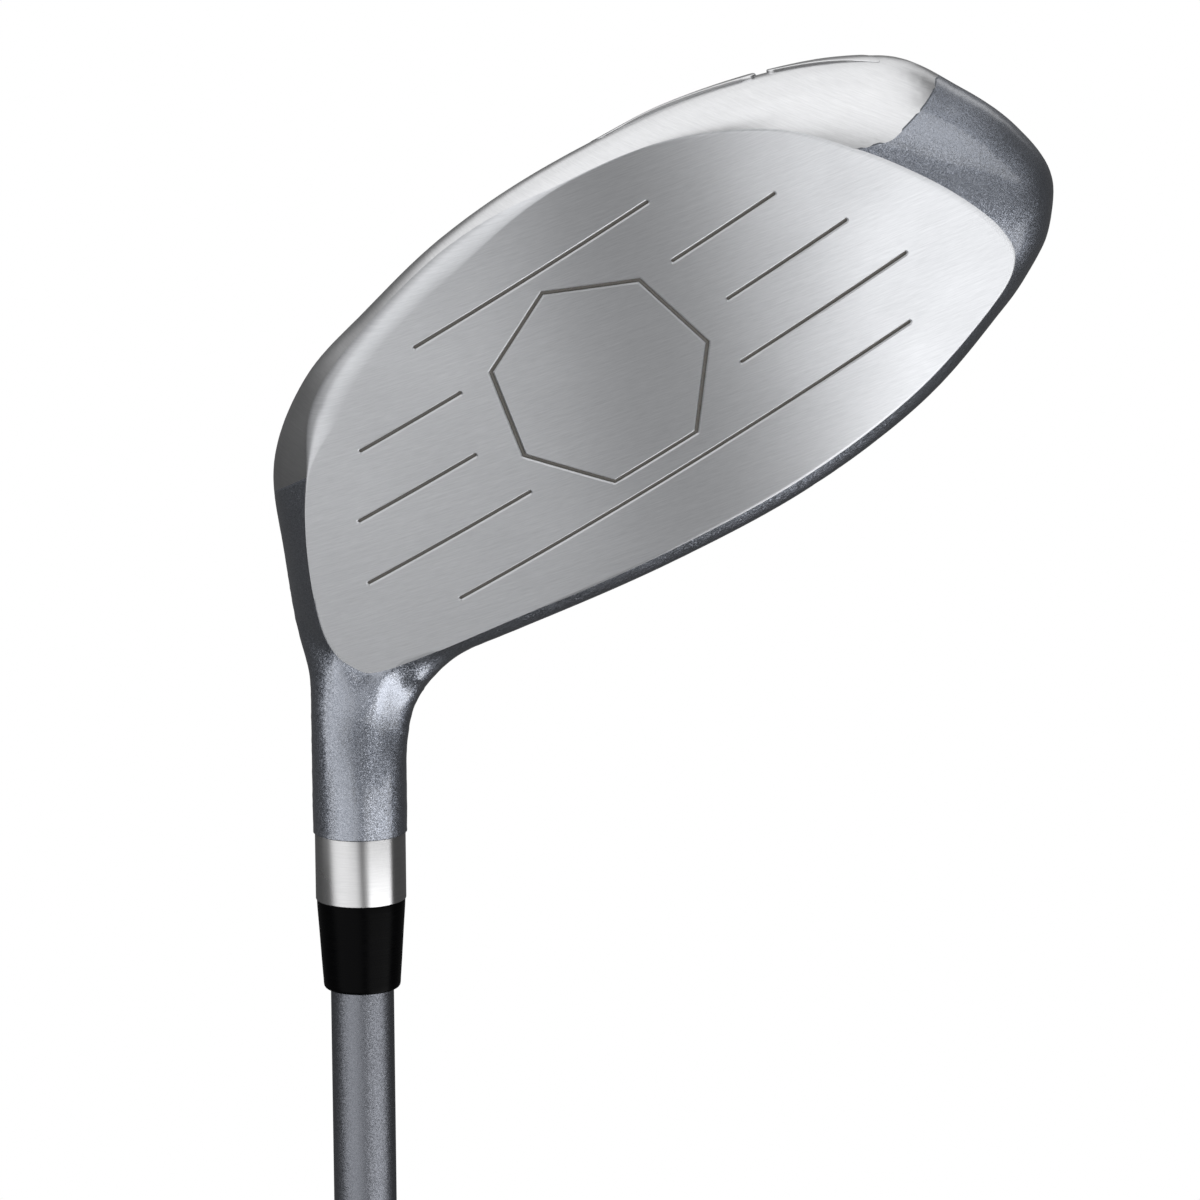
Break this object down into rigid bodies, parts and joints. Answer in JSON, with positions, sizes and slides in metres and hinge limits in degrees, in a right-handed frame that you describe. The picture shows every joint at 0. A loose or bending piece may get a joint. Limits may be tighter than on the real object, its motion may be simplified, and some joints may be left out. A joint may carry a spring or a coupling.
{
  "type": "hybrid golf club",
  "caption": "Right-handed metal-wood style hybrid golf club: hollow steel head with a scored face, painted hosel, black ferrule, tapered shaft and rubber grip.",
  "frame": {"origin": "centre of the mouth of the vent hole, at the butt end of the grip, on the shaft's axis", "axes": "+Z along the shaft from the grip to the head, +X towards the toe side, -Y the way the face looks"},
  "size_m": [0.1032, 0.071, 1.0455],
  "materials": {
    "head_paint": "satin metallic blue-grey with fine flake",
    "face_steel": "finely brushed",
    "sole_steel": "finely brushed",
    "band_steel": "turned and brushed",
    "ferrule_plastic": "glossy black",
    "shaft_paint": "satin silver-grey with fine flake",
    "grip_rubber": "textured matte",
    "cap_rubber": "smooth matte",
    "tape_paper": "plain",
    "epoxy": "cured resin",
    "plug_plastic": "plain",
    "hot_glue": "tacky",
    "weight_brass": "turned"
  },
  "bodies": {
    "root": {"head_body": "head_paint", "face_plate": "face_steel", "crown_plate": "head_paint", "sole_plate": "sole_steel", "hosel_plug": "plug_plastic", "rattle_glue": "hot_glue", "hosel_band": "band_steel", "ferrule": "ferrule_plastic", "shaft_epoxy": "epoxy", "tip_weight": "weight_brass", "shaft": "shaft_paint", "grip_tape": "tape_paper", "grip": "grip_rubber", "grip_cap": "cap_rubber"}
  },
  "joints": []
}
